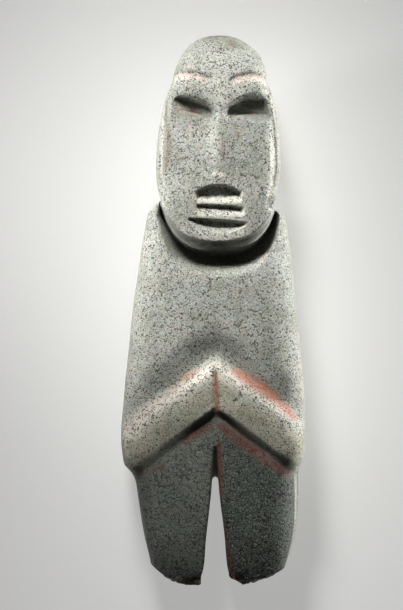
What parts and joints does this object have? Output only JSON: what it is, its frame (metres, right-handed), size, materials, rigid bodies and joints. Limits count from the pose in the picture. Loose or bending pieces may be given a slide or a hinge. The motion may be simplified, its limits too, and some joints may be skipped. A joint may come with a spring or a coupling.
{
  "type": "anthropomorphic stone figurine",
  "caption": "Slab-like carved stone figure with a flat face, folded arms cut as a chevron and blocky legs, lying on its back.",
  "frame": {"origin": "on the resting plane under the centre of the bounding box, the figure lying on its back", "axes": "+Z out of the figure's front, +Y towards the top of the head, +X towards the figure's left hand side"},
  "size_m": [0.0919, 0.274, 0.0538],
  "materials": {
    "stone": "ground green-grey stone, pitted, with traces of red pigment"
  },
  "bodies": {
    "root": {"figurine": "stone"}
  },
  "joints": []
}
